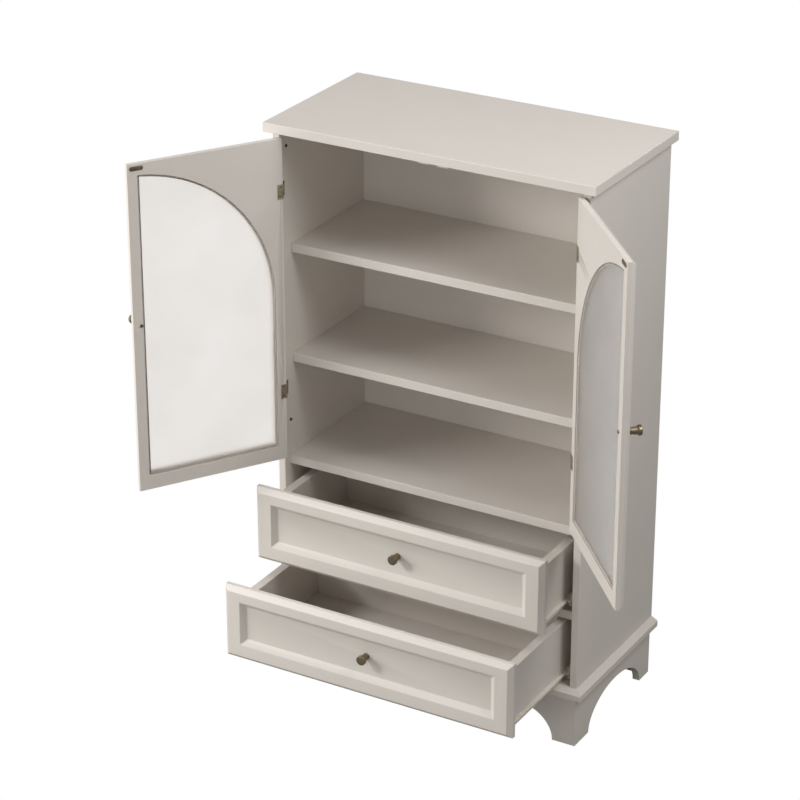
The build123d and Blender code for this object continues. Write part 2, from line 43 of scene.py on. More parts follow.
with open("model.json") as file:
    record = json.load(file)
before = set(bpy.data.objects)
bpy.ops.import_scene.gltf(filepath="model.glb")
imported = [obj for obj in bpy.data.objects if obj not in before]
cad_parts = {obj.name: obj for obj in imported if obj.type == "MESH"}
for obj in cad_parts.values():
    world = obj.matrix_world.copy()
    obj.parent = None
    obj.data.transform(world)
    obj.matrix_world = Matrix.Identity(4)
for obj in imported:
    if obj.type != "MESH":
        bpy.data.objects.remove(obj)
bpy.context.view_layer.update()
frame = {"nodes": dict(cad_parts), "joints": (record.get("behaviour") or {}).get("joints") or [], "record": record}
NODES = frame["nodes"]
BODY_OF = {n: b for b, names in frame["record"]["behaviour"]["bodies"].items() for n in names}
SLOT_OF = {s["node"]: s["material_slot"] for s in frame["record"]["subparts"]}
HINGES = {j["name"]: Vector(j["pos_m"]) for j in frame["joints"] if "pos_m" in j}
SLIDES = {j["name"]: -j["range_m"][0] for j in frame["joints"] if "range_m" in j}

# How far each door stands open and each drawer stands out, as stored
DOOR_OPEN = {"left": -math.radians(121.8), "right": math.radians(131.8)}
DRAWER_OUT = {d: SLIDES[f"{d}_drawer_slide"] for d in ("upper", "lower")}

# Places of the fittings, in millimetres, with the doors and drawers closed
CARCASS_FRONT = -200.0
FRONTS_BACK = -178.0
INNER_SIDE = 382.0
DOOR_EDGE = 379.5
HINGE_HEIGHTS = (736.0, 1231.0)
HINGE_SCREW_RISE = 11.0
DOOR_SCREW_X = 372.5
FRAME_SCREW_Y = -187.0
DOOR_KNOB = (21.5, 973.5)
STRIKE_CENTRE = (23.9, 1347.7)
DRAWER_FIELD = -188.0
DRAWER_KNOB_HEIGHT = {"upper": 455.25, "lower": 263.75}
STUD_Y = -173.5
STUD_HEIGHTS = (1329.0, 647.0)
CATCH_CENTRE = (23.9, -168.7, 1359.25)
ROLLER_X = 361.0
FRONT_ROLLER = {"upper": (-168.0, 362.7), "lower": (-168.0, 171.2)}
REAR_ROLLER = {"upper": (147.0, 361.1), "lower": (147.0, 169.6)}

# Sizes of the small pieces, in millimetres
SHEET_EDGE = 0.5
BLOCK_EDGE = 1.5
CLEAT_EDGE = 1.0
DOWEL_EDGE = 0.1
LEAF_THICK = 1.0
KNOB_BOLT_HEAD = 2.5
PLATE_THICK = 0.9
PLATE_EDGE = 0.3
# Screws: the head's radius and height, then the shank's radius and length
LEAF_SCREW = (2.6, 1.0, 1.5, 10.0)
KNOB_BOLT = (4.0, KNOB_BOLT_HEAD, 2.0, 22.0)
PLATE_SCREW = (2.3, 0.8, 1.2, 8.0)
# Outlines turned about their own axis, as radius and height
PIN = ((0.0, -18.0), (1.0, -18.0), (1.25, -17.75), (1.25, 17.75), (1.0, 18.0), (0.0, 18.0))
STUD = ((0.0, 0.0), (3.8, 0.0), (3.8, 1.4), (3.3, 2.4), (1.9, 2.9), (0.0, 3.0))
HALF_ROLLER = ((2.05, -3.3), (3.4, -3.3), (4.0, -2.4), (5.4, -2.4), (6.0, -3.5), (6.4, -3.5), (7.0, -2.9))
# A catch's blocks: centre from the catch's own, size, rounding and facets in that rounding
CATCH_CASE = ((0.0, 0.4, 0.25), (28.0, 15.2, 18.5), 1.2, 3)
CATCH_EARS = ((0.0, 1.5, 8.2), (40.0, 11.0, 3.0), 1.0, 2)
CATCH_POLES = (
    ((0.0, -6.5, -4.0), (20.0, 3.0, 2.4), 0.3, 2),
    ((0.0, -6.5, 2.5), (20.0, 3.0, 2.4), 0.3, 2),
)
# A catch's poles are what lies in front of its middle by this much, and within this of the cabinet's middle
POLE_FRONT = 7.3
POLE_REACH = 34.5

# The studio, in metres and degrees. Each softbox has its size, its place and the point that it faces
SOFTBOXES = {
    "key": (0.9, (-2.6, -2.6, 2.4), (0.0, -0.1, 0.8)),
    "low": (1.2, (-2.4, -1.6, 1.0), (0.0, -0.4, 0.6)),
    "overhead": (2.0, (-0.3, -0.2, 3.4), (0.0, 0.0, 1.0)),
    "side": (1.2, (2.0, -0.5, 2.8), (0.4, 0.0, 1.3)),
    "front": (2.0, (0.6, -4.2, 1.4), (0.0, 0.0, 0.7)),
}
SIDE_TINT = (0.97, 0.98, 1.0)
WALL_TINT = (1.0, 0.985, 0.965, 1.0)
FLOOR_REACH = 20.0
CAMERA_PLACE = (2.8492, -5.2485, 3.4662)
CAMERA_TILT = 65.262
CAMERA_PAN = 30.029
SENSOR_WIDTH = 36.0


def linear(code):
    """An sRGB hex colour as linear red, green and blue."""
    parts = [int(code[i:i + 2], 16) / 255 for i in (1, 3, 5)]
    return tuple(c / 12.92 if c <= 0.04045 else ((c + 0.055) / 1.055) ** 2.4 for c in parts)


def per_mm(size):
    """The scale of a noise whose grains are about size millimetres across."""
    return 1.0 / (size * MM)


# ------------------------------------------------------------------ settings


class ArmoireEdges(bpy.types.PropertyGroup):
    board: bpy.props.FloatProperty(
        name="Board edge", description="Rounding of the painted boards' edges",
        default=1.3 * MM, min=0.0, unit="LENGTH")
    mitre: bpy.props.FloatProperty(
        name="Mitred edge", description="Rounding of the base's mouldings and aprons",
        default=0.5 * MM, min=0.0, unit="LENGTH")
    bead: bpy.props.FloatProperty(
        name="Glazing bead edge", description="Rounding of the beads that hold the glass",
        default=1.1 * MM, min=0.0, unit="LENGTH")
    sheet: bpy.props.FloatProperty(
        name="Sheet metal edge", description="Rounding of hinge leaves and slides",
        default=0.25 * MM, min=0.0, unit="LENGTH")
    steps: bpy.props.IntProperty(
        name="Rounding steps", description="Facets in each rounded edge", default=3, min=1, max=6)


class ArmoireFittings(bpy.types.PropertyGroup):
    knob_foot: bpy.props.FloatProperty(
        name="Knob foot radius", description="Radius of a knob's stem at the board",
        default=8.0 * MM, unit="LENGTH")
    knob_neck: bpy.props.FloatProperty(
        name="Knob neck radius", description="Radius of the stem under the cap",
        default=9.1 * MM, unit="LENGTH")
    knob_cap: bpy.props.FloatProperty(
        name="Knob cap radius", description="Radius of the round cap", default=11.5 * MM, unit="LENGTH")
    knob_cap_thick: bpy.props.FloatProperty(
        name="Knob cap thickness", description="Thickness of the round cap",
        default=8.0 * MM, unit="LENGTH")
    knob_length: bpy.props.FloatProperty(
        name="Knob length", description="How far a knob stands out", default=27.0 * MM, unit="LENGTH")
    # the bead's outer wall at this gap is painted dark, as painted shade
    painted_shade_gap: bpy.props.FloatProperty(
        name="Glazing seal", description="Width of the seal between a bead and its frame",
        default=1.6 * MM, unit="LENGTH")
    plate_length: bpy.props.FloatProperty(
        name="Strike plate length", description="Length of a catch's steel plate",
        default=33.0 * MM, unit="LENGTH")
    plate_height: bpy.props.FloatProperty(
        name="Strike plate height", description="Height of a catch's steel plate",
        default=10.5 * MM, unit="LENGTH")


class ArmoireColours(bpy.types.PropertyGroup):
    paint: bpy.props.FloatVectorProperty(
        name="Paint", description="Warm white lacquer", default=linear("#DAD3CB"),
        size=3, min=0.0, max=1.0, subtype="COLOR")
    bronze: bpy.props.FloatVectorProperty(
        name="Bronze", description="Darkened bronze plating", default=linear("#988A72"),
        size=3, min=0.0, max=1.0, subtype="COLOR")
    brass: bpy.props.FloatVectorProperty(
        name="Brass", description="Tarnished brass of the hinges", default=linear("#BFB29C"),
        size=3, min=0.0, max=1.0, subtype="COLOR")
    powder_coat: bpy.props.FloatVectorProperty(
        name="Powder coat", description="Cream coating of the drawer slides", default=linear("#E2DCCF"),
        size=3, min=0.0, max=1.0, subtype="COLOR")


class ArmoireStudio(bpy.types.PropertyGroup):
    key: bpy.props.FloatProperty(
        name="Key light", description="Power of the softbox at the upper left front",
        default=72.0, min=0.0, unit="POWER")
    low: bpy.props.FloatProperty(
        name="Low light", description="Power of the small softbox at the lower left",
        default=24.0, min=0.0, unit="POWER")
    side: bpy.props.FloatProperty(
        name="Side light", description="Power of the softbox at the right side",
        default=37.0, min=0.0, unit="POWER")
    front: bpy.props.FloatProperty(
        name="Front light", description="Power of the wide softbox in front",
        default=24.0, min=0.0, unit="POWER")
    overhead: bpy.props.FloatProperty(
        name="Overhead light", description="Power of the softbox over the top",
        default=14.0, min=0.0, unit="POWER")
    surround: bpy.props.FloatProperty(
        name="Surround", description="Brightness of the studio's pale walls", default=0.30, min=0.0)
    lens: bpy.props.FloatProperty(
        name="Lens", description="Focal length of the camera", default=126.68, unit="CAMERA")


# ------------------------------------------------------------------ materials


def add_node(material, kind, inputs=(), **settings):
    """Adds a node, sets its settings, and fills each input with a value or links it to an output."""
    made = material.node_tree.nodes.new(kind)
    for name, value in settings.items():
        setattr(made, name, value)
    for key, value in dict(inputs).items():
        if isinstance(value, bpy.types.NodeSocket):
            material.node_tree.links.new(value, made.inputs[key])
        else:
            made.inputs[key].default_value = value
    return made


def new_material(name):
    """An empty material, its output node and a texture coordinate node."""
    material = bpy.data.materials.new(name)
    material.use_nodes = True
    material.node_tree.nodes.clear()
    output = add_node(material, "ShaderNodeOutputMaterial")
    place = add_node(material, "ShaderNodeTexCoord").outputs["Object"]
    return material, output, place


def grain(material, place, size, detail=3.0, rough=0.55):
    """A noise of grains about size millimetres across."""
    settings = {"Vector": place, "Scale": per_mm(size), "Detail": detail, "Roughness": rough}
    return add_node(material, "ShaderNodeTexNoise", settings).outputs["Fac"]


def spread(material, value, low, high):
    """A noise's middle range stretched between two values."""
    settings = {"Value": value, "From Min": 0.3, "From Max": 0.7, "To Min": low, "To Max": high}
    return add_node(material, "ShaderNodeMapRange", settings).outputs["Result"]


def blend_colours(material, factor, first, second):
    """A colour between two others."""
    colours = {0: factor, 6: (*first, 1.0), 7: (*second, 1.0)}
    return add_node(material, "ShaderNodeMix", colours, data_type="RGBA").outputs[2]


def relief(material, height, depth, normal=None):
    """A bump of about depth millimetres, over an earlier bump where one is given."""
    settings = {"Height": height, "Distance": depth * MM, "Strength": 1.0}
    if normal is not None:
        settings["Normal"] = normal
    return add_node(material, "ShaderNodeBump", settings).outputs["Normal"]


def shade(material, output, inputs):
    """Gives the material its surface and returns it."""
    surface = add_node(material, "ShaderNodeBsdfPrincipled", inputs)
    material.node_tree.links.new(surface.outputs["BSDF"], output.inputs["Surface"])
    return material


def dimmed(colour, share):
    """A darker tone of a colour."""
    return tuple(c * share for c in colour)


def lacquered_fibreboard(colour):
    """Sprayed satin lacquer on fibreboard: an even warm white with a faint orange-peel skin."""
    material, output, place = new_material("lacquered_fibreboard")
    # broad drifts of tone, where the coat is a little thicker or thinner
    drift = spread(material, grain(material, place, 260.0), 0.0, 1.0)
    tone = blend_colours(material, drift, dimmed(colour, 0.965), colour)
    # orange peel is 2 mm across; it is drawn at 7 mm so that it shows
    peel = relief(material, grain(material, place, 7.0, 2.0), 0.02)
    # slow waves left by sanding a wide board by hand
    waves = relief(material, grain(material, place, 90.0, 1.0), 0.10, peel)
    gloss = spread(material, grain(material, place, 40.0), 0.40, 0.50)
    return shade(material, output, {"Base Color": tone, "Roughness": gloss, "Normal": waves,
                                    "IOR": 1.5, "Coat Weight": 0.12, "Coat Roughness": 0.3})


def bare_beech():
    """Planed beech without a finish: pale tan with fine darker pores along the grain."""
    material, output, place = new_material("bare_beech")
    # pores are 1 mm wide and run on for 30 mm; drawn at 3 mm wide
    stretch = add_node(material, "ShaderNodeMapping", {"Vector": place, "Scale": (0.1, 1.0, 1.0)})
    pores = spread(material, grain(material, stretch.outputs["Vector"], 3.0, 4.0), 0.0, 1.0)
    tone = blend_colours(material, pores, linear("#B08D62"), linear("#CDB089"))
    return shade(material, output, {"Base Color": tone, "Roughness": 0.7,
                                    "Normal": relief(material, pores, 0.1)})


def frosted_glass():
    """Float glass, 4 mm, etched with acid: a milky, even veil that blurs all behind it."""
    material, output, place = new_material("frosted_glass")
    # the etch is uneven by a little over a hand's breadth
    cloud = spread(material, grain(material, place, 150.0, 2.0), 0.0, 1.0)
    tint = blend_colours(material, cloud, linear("#F2EEEA"), linear("#F8F5F2"))
    etch = spread(material, grain(material, place, 60.0), 0.42, 0.48)
    # etched grains are 0.1 mm; drawn at 2 mm
    grains = relief(material, grain(material, place, 2.0, 2.0), 0.01)
    return shade(material, output, {"Base Color": tint, "Transmission Weight": 1.0, "IOR": 1.5,
                                    "Roughness": etch, "Normal": grains})


def darkened_bronze(colour):
    """Bronze plating, chemically darkened and brushed by hand: brown, paler where it is rubbed."""
    material, output, place = new_material("darkened_bronze")
    rubbed = spread(material, grain(material, place, 9.0, 5.0), 0.0, 1.0)
    tone = blend_colours(material, rubbed, dimmed(colour, 0.62), colour)
    gloss = spread(material, grain(material, place, 4.0), 0.34, 0.52)
    # brush marks are 0.1 mm apart; drawn at 0.8 mm
    marks = add_node(material, "ShaderNodeMapping", {"Vector": place, "Scale": (1.0, 1.0, 0.15)})
    brushed = relief(material, grain(material, marks.outputs["Vector"], 0.8, 2.0), 0.02)
    return shade(material, output, {"Base Color": tone, "Metallic": 1.0, "Roughness": gloss,
                                    "Normal": brushed})


def aged_brass(colour):
    """Rolled brass left to tarnish: a dull straw metal, browner in patches."""
    material, output, place = new_material("aged_brass")
    tarnish = spread(material, grain(material, place, 7.0, 4.0), 0.0, 1.0)
    tone = blend_colours(material, tarnish, dimmed(colour, 0.55), colour)
    gloss = spread(material, grain(material, place, 5.0), 0.30, 0.48)
    # rolling lines are 0.1 mm apart; drawn at 1 mm
    lines = add_node(material, "ShaderNodeMapping", {"Vector": place, "Scale": (1.0, 1.0, 0.1)})
    rolled = relief(material, grain(material, lines.outputs["Vector"], 1.0, 2.0), 0.02)
    return shade(material, output, {"Base Color": tone, "Metallic": 1.0, "Roughness": gloss,
                                    "Normal": rolled})


def powder_coated_steel(colour):
    """Pressed steel with a baked cream powder coat: soft sheen and a fine pebbled skin."""
    material, output, place = new_material("powder_coated_steel")
    drift = spread(material, grain(material, place, 60.0), 0.0, 1.0)
    tone = blend_colours(material, drift, dimmed(colour, 0.93), colour)
    # the pebbles are 0.5 mm across; drawn at 1.5 mm
    pebbles = relief(material, grain(material, place, 1.5, 2.0), 0.03)
    return shade(material, output, {"Base Color": tone, "Roughness": 0.42, "Normal": pebbles})


def moulded_nylon():
    """Moulded nylon: milky, slightly waxy, with a smooth skin."""
    material, output, place = new_material("moulded_nylon")
    cloud = spread(material, grain(material, place, 12.0), 0.0, 1.0)
    tone = blend_colours(material, cloud, linear("#DCD8CC"), linear("#E9E6DD"))
    skin = relief(material, grain(material, place, 1.5, 1.0), 0.02)
    return shade(material, output, {"Base Color": tone, "Roughness": 0.38, "Normal": skin,
                                    "Subsurface Weight": 0.1})


def textured_abs():
    """Moulded ABS from a spark-eroded mould: an even pale plastic with a dull, fine grain."""
    material, output, place = new_material("textured_abs")
    cloud = spread(material, grain(material, place, 20.0), 0.0, 1.0)
    tone = blend_colours(material, cloud, linear("#D6D2C8"), linear("#DEDAD1"))
    # spark erosion leaves pits of 0.2 mm; drawn at 1 mm
    pits = relief(material, grain(material, place, 1.0, 2.0), 0.03)
    return shade(material, output, {"Base Color": tone, "Roughness": 0.55, "Normal": pits})


def soft_rubber():
    """Black vulcanised rubber: nearly no gloss, with greyish bloom in places. On the glazing beads' outer walls it
    stands as painted shade.
    """
    material, output, place = new_material("soft_rubber")
    bloom = spread(material, grain(material, place, 2.0), 0.0, 1.0)
    tone = blend_colours(material, bloom, linear("#3A352E"), linear("#4B453C"))
    return shade(material, output, {"Base Color": tone, "Roughness": 0.8,
                                    "Normal": relief(material, bloom, 0.05)})


def magnet_steel():
    """Plain zinc-plated steel: the pole pieces of a magnetic catch, grey with a dull bloom."""
    material, output, place = new_material("magnet_steel")
    bloom = spread(material, grain(material, place, 3.0), 0.0, 1.0)
    tone = blend_colours(material, bloom, linear("#9A9C9E"), linear("#B9BBBD"))
    return shade(material, output, {"Base Color": tone, "Metallic": 1.0, "Roughness": 0.35,
                                    "Normal": relief(material, bloom, 0.01)})


def finishes():
    """The materials by the record's slot, made once."""
    if "lacquered_fibreboard" not in bpy.data.materials:
        colours = bpy.context.scene.armoire_colours
        lacquered_fibreboard(tuple(colours.paint))
        bare_beech()
        frosted_glass()
        darkened_bronze(tuple(colours.bronze))
        aged_brass(tuple(colours.brass))
        powder_coated_steel(tuple(colours.powder_coat))
        moulded_nylon()
        textured_abs()
        soft_rubber()
        magnet_steel()
    made = bpy.data.materials
    return {
        "paint": made["lacquered_fibreboard"],
        "bare_wood": made["bare_beech"],
        "glass": made["frosted_glass"],
        "bronze": made["darkened_bronze"],
        "slide_steel": made["powder_coated_steel"],
        "nylon": made["moulded_nylon"],
        "catch_plastic": made["textured_abs"],
        "dark_rubber": made["soft_rubber"],
    }


# ------------------------------------------------------------------ shaping tools


def placed(maker, name, node, sharp):
    """Turns a bmesh into the finished piece that stands for a CAD node and rides on its body."""
    mesh = bpy.data.meshes.new(name)
    maker.to_mesh(mesh)
    maker.free()
    for face in mesh.polygons:
        face.use_smooth = True
    mesh.set_sharp_from_angle(angle=sharp)
    mesh.materials.append(finishes()[SLOT_OF[node]])
    piece = bpy.data.objects.new(name, mesh)
    bpy.context.scene.collection.objects.link(piece)
    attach(piece, BODY_OF[node])
    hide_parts(node)
    return piece


def settle(maker, name, node, sharp=math.radians(35)):
    """Closes a new shape's seams, points its faces outwards and places it."""
    bmesh.ops.remove_doubles(maker, verts=maker.verts, dist=WELD)
    bmesh.ops.recalc_face_normals(maker, faces=maker.faces)
    return placed(maker, name, node, sharp)


def eased_board(node, radius, shortest=3.0 * MM):
    """The CAD piece with its long sharp edges rounded, as by sanding. Edges shorter than shortest, such as those
    round small holes, stay sharp.
    """
    maker = bmesh.new()
    maker.from_mesh(NODES[node].data)
    bmesh.ops.remove_doubles(maker, verts=maker.verts, dist=WELD)
    bmesh.ops.dissolve_limit(maker, angle_limit=FLAT, verts=maker.verts, edges=maker.edges)
    weights = maker.edges.layers.float.new("bevel_weight_edge")
    for edge in maker.edges:
        corner = len(edge.link_faces) == 2 and edge.calc_face_angle() > CORNER
        if corner and edge.calc_length() > shortest:
            edge[weights] = 1.0
    piece = placed(maker, f"{node}_finished", node, CORNER)
    rounding = piece.modifiers.new("Eased edges", "BEVEL")
    rounding.width = radius
    rounding.segments = bpy.context.scene.armoire_edges.steps
    rounding.limit_method = "WEIGHT"
    rounding.use_clamp_overlap = False
    rounding.harden_normals = True
    return piece


def turned(outline, steps=48, rounding=0.0, segments=2):
    """A solid turned about Z from its outline of radius and height pairs, with its rims rounded."""
    maker = bmesh.new()
    points = [maker.verts.new((radius, 0.0, height)) for radius, height in outline]
    for first, second in zip(points, points[1:]):
        maker.edges.new((first, second))
    bmesh.ops.spin(maker, geom=maker.verts[:] + maker.edges[:], cent=(0, 0, 0), axis=(0, 0, 1),
                   angle=FULL_TURN, steps=steps, use_merge=True, use_duplicate=False)
    bmesh.ops.remove_doubles(maker, verts=maker.verts, dist=WELD)
    bmesh.ops.recalc_face_normals(maker, faces=maker.faces)
    if rounding:
        seams = [e for e in maker.edges if len(e.link_faces) == 2]
        rims = [e for e in seams if e.calc_face_angle() > RIM]
        bmesh.ops.bevel(maker, geom=rims, offset=rounding, offset_type="OFFSET", segments=segments,
                        profile=0.5, affect="EDGES", material=-1, clamp_overlap=True)
    return maker


def in_metres(outline):
    """An outline given in millimetres."""
    return [(radius * MM, height * MM) for radius, height in outline]


def rounded_block(centre, size, rounding, segments):
    """A block with rounded edges, all in millimetres."""
    maker = bmesh.new()
    stretch = Matrix.Diagonal((*(length * MM for length in size), 1.0))
    bmesh.ops.create_cube(maker, size=1.0, matrix=Matrix.Translation(Vector(centre) * MM) @ stretch)
    bmesh.ops.bevel(maker, geom=maker.edges[:], offset=rounding * MM, offset_type="OFFSET",
                    segments=segments, profile=0.5, affect="EDGES", material=-1)
    return maker


def joined(whole, part, place):
    """Adds a copy of part to whole at a place, and frees part."""
    bmesh.ops.transform(part, matrix=place, verts=part.verts)
    if place.determinant() < 0:
        bmesh.ops.reverse_faces(part, faces=part.faces)
    carried = bpy.data.meshes.new("carried")
    part.to_mesh(carried)
    part.free()
    whole.from_mesh(carried)
    bpy.data.meshes.remove(carried)


def facing(direction, place):
    """A place in millimetres whose own +Z points along direction."""
    turn = Vector(direction).to_track_quat("Z", "Y").to_matrix().to_4x4()
    return Matrix.Translation(Vector(place) * MM) @ turn


def across(side):
    """Mirrors a place on the right of the cabinet to the left where that side is meant."""
    return Matrix.Scale(-1.0, 4, (1, 0, 0)) if side == "left" else Matrix.Identity(4)


def door_swing(side):
    """The closed right door's place taken to either door's stored place."""
    pivot = HINGES[f"{side}_door_hinge"].copy()
    pivot.z = 0.0
    opening = Matrix.Rotation(DOOR_OPEN[side], 4, "Z")
    swing = Matrix.Translation(pivot) @ opening @ Matrix.Translation(-pivot)
    return swing @ across(side)


def pulled(drawer):
    """A drawer's closed place taken to its stored place."""
    return Matrix.Translation((0.0, -DRAWER_OUT[drawer], 0.0))


def cross_head(sizes, countersunk):
    """A screw along -Z from its head's top at the origin: a cross recess, a head and a plain shank."""
    radius, height, shank, length = (size * MM for size in sizes)
    maker = bmesh.new()
    bmesh.ops.create_grid(maker, x_segments=3, y_segments=3, size=radius * 0.52)
    centres = {face: face.calc_center_median() for face in maker.faces}
    bars = [f for f, c in centres.items() if min(abs(c.x), abs(c.y)) < radius * 0.1]
    # narrow the middle row and column, so that the recess is a cross with slim bars
    for vert in maker.verts:
        if abs(vert.co.x) < radius * 0.3:
            vert.co.x *= 0.55
        if abs(vert.co.y) < radius * 0.3:
            vert.co.y *= 0.55
    rim = [e for e in maker.edges if e.is_boundary]
    ring = bmesh.ops.create_circle(maker, cap_ends=False, radius=radius * 0.86, segments=12,
                                   matrix=Matrix.Rotation(math.radians(15), 4, "Z"))
    ring_edges = list({e for v in ring["verts"] for e in v.link_edges})
    bmesh.ops.bridge_loops(maker, edges=rim + ring_edges)
    bmesh.ops.inset_region(maker, faces=bars, thickness=radius * 0.02, depth=-height * 0.45)
    edge_loop = ring_edges
    steps = [(radius, -height * 0.18)]
    if not countersunk:
        steps.append((radius, -height))
    steps += [(shank, -height), (shank * 0.9, -length), (shank * 0.2, -length - shank)]
    previous = (radius * 0.86, 0.0)
    for wide, low in steps:
        pushed = bmesh.ops.extrude_edge_only(maker, edges=edge_loop)["geom"]
        verts = [g for g in pushed if isinstance(g, bmesh.types.BMVert)]
        share = wide / previous[0]
        bmesh.ops.scale(maker, vec=(share, share, 1.0), verts=verts)
        bmesh.ops.translate(maker, vec=(0.0, 0.0, low - previous[1]), verts=verts)
        edge_loop = [g for g in pushed if isinstance(g, bmesh.types.BMEdge)]
        previous = (wide, low)
    bmesh.ops.contextual_create(maker, geom=edge_loop)
    bmesh.ops.recalc_face_normals(maker, faces=maker.faces)
    return maker


def knob_shape():
    """A plain T-shaped knob, turned, with its cap's rims and foot softened."""
    sizes = bpy.context.scene.armoire_fittings
    under = sizes.knob_length - sizes.knob_cap_thick
    waist = sizes.knob_foot * 0.97
    outline = [
        (0.0, 0.0),
        (sizes.knob_foot, 0.0),
        (waist, under * 0.35),
        (sizes.knob_neck * 0.97, under * 0.75),
        (sizes.knob_neck, under),
        (sizes.knob_cap, under),
        (sizes.knob_cap, sizes.knob_length - 0.4 * MM),
        (sizes.knob_cap * 0.6, sizes.knob_length),
        (0.0, sizes.knob_length),
    ]
    return turned(outline, steps=56, rounding=0.9 * MM, segments=3)


# ------------------------------------------------------------------ operators


class ARMOIRE_OT_carcass(bpy.types.Operator):
    """Lacquers the top, sides, back, shelves and rail, with their edges eased"""

    bl_idname = "armoire.carcass"
    bl_label = "Carcass"

    def execute(self, context):
        radius = context.scene.armoire_edges.board
        for node in ("top_panel", "left_side_panel", "right_side_panel", "upper_shelf", "middle_shelf",
                     "lower_shelf", "drawer_rail", "base_platform"):
            eased_board(node, radius)
        eased_board("back_panel", SHEET_EDGE * MM)
        return {"FINISHED"}


class ARMOIRE_OT_base(bpy.types.Operator):
    """Lacquers the mitred mouldings and the arched aprons"""

    bl_idname = "armoire.base"
    bl_label = "Base"

    def execute(self, context):
        radius = context.scene.armoire_edges.mitre
        for node in ("front_moulding", "left_moulding", "right_moulding", "front_apron", "left_apron",
                     "right_apron", "back_apron"):
            eased_board(node, radius)
        return {"FINISHED"}


class ARMOIRE_OT_joinery(bpy.types.Operator):
    """Makes the dowels and the glue blocks bare wood, and lacquers the runner cleats"""

    bl_idname = "armoire.joinery"
    bl_label = "Dowels and blocks"

    def execute(self, context):
        eased_board("corner_blocks", BLOCK_EDGE * MM)
        eased_board("runner_cleats", CLEAT_EDGE * MM)
        eased_board("dowels", DOWEL_EDGE * MM)
        return {"FINISHED"}


class ARMOIRE_OT_doors(bpy.types.Operator):
    """Lacquers the door frames, rounds the glazing beads and gives the panes their glass"""

    bl_idname = "armoire.doors"
    bl_label = "Doors"

    def painted_shade_gap(self, bead, gap):
        """Draws a bead's outer wall in from the frame and gives it the dark rubber finish, as painted shade in the
        gap there.
        """
        # painted shade: the bead's outer walls take the dark rubber finish, where the gap is only in shadow
        bead.data.materials.append(finishes()["dark_rubber"])
        maker = bmesh.new()
        maker.from_mesh(bead.data)
        pane = NODES[bead.name.replace("_glazing_bead_finished", "_door_glass")]
        corners = [Vector(v.co) for v in pane.data.vertices]
        middle = sum(corners, Vector()) / len(corners)
        flat = max(maker.faces, key=lambda f: f.calc_area()).normal.copy()
        walls = []
        for face in maker.faces:
            outward = (face.calc_center_median() - middle).dot(face.normal) > 0
            if abs(face.normal.dot(flat)) < 0.1 and outward:
                face.material_index = 1
                walls.append(face)
        moves = {}
        for face in walls:
            for vert in face.verts:
                moves.setdefault(vert, []).append(face.normal.copy())
        for vert, normals in moves.items():
            mean = sum(normals, Vector()).normalized()
            vert.co -= mean * (gap / max(0.5, mean.dot(normals[0])))
        maker.to_mesh(bead.data)
        maker.free()

    def execute(self, context):
        edges = context.scene.armoire_edges
        for side in ("left", "right"):
            eased_board(f"{side}_door_frame", edges.board)
            bead = eased_board(f"{side}_glazing_bead", edges.bead)
            self.painted_shade_gap(bead, context.scene.armoire_fittings.painted_shade_gap)
            pane = NODES[f"{side}_door_glass"]
            pane.data.materials.clear()
            pane.data.materials.append(finishes()["glass"])
        return {"FINISHED"}


class ARMOIRE_OT_drawers(bpy.types.Operator):
    """Lacquers the drawer fronts and boxes, with their edges eased"""

    bl_idname = "armoire.drawers"
    bl_label = "Drawers"

    def execute(self, context):
        radius = context.scene.armoire_edges.board
        for drawer in ("upper", "lower"):
            for part in ("front", "left_side", "right_side", "back"):
                eased_board(f"{drawer}_drawer_{part}", radius)
            eased_board(f"{drawer}_drawer_bottom", SHEET_EDGE * MM)
        return {"FINISHED"}


class ARMOIRE_OT_knobs(bpy.types.Operator):
    """Turns the four bronze knobs"""

    bl_idname = "armoire.knobs"
    bl_label = "Knobs"

    def execute(self, context):
        x, z = DOOR_KNOB
        for side in ("left", "right"):
            maker = bmesh.new()
            joined(maker, knob_shape(), door_swing(side) @ facing((0, -1, 0), (x, CARCASS_FRONT, z)))
            settle(maker, f"{side}_door_knob_turned", f"{side}_door_knob")
        for drawer in ("upper", "lower"):
            maker = bmesh.new()
            place = facing((0, -1, 0), (0.0, DRAWER_FIELD, DRAWER_KNOB_HEIGHT[drawer]))
            joined(maker, knob_shape(), pulled(drawer) @ place)
            settle(maker, f"{drawer}_drawer_knob_turned", f"{drawer}_drawer_knob")
        return {"FINISHED"}


class ARMOIRE_OT_hinges(bpy.types.Operator):
    """Gives the butt hinges' leaves their aged brass, with softened edges, and turns the pins"""

    bl_idname = "armoire.hinges"
    bl_label = "Hinges"

    def execute(self, context):
        radius = context.scene.armoire_edges.sheet
        for node in ("frame_hinge_leaves", "left_door_hinge_leaves", "right_door_hinge_leaves"):
            leaves = eased_board(node, radius)
            leaves.data.materials[0] = bpy.data.materials["aged_brass"]
        maker = bmesh.new()
        for side in ("left", "right"):
            x, y, _ = HINGES[f"{side}_door_hinge"]
            for height in HINGE_HEIGHTS:
                joined(maker, turned(in_metres(PIN), steps=24), Matrix.Translation((x, y, height * MM)))
        settle(maker, "hinge_pins_turned", "hinge_pins")
        return {"FINISHED"}


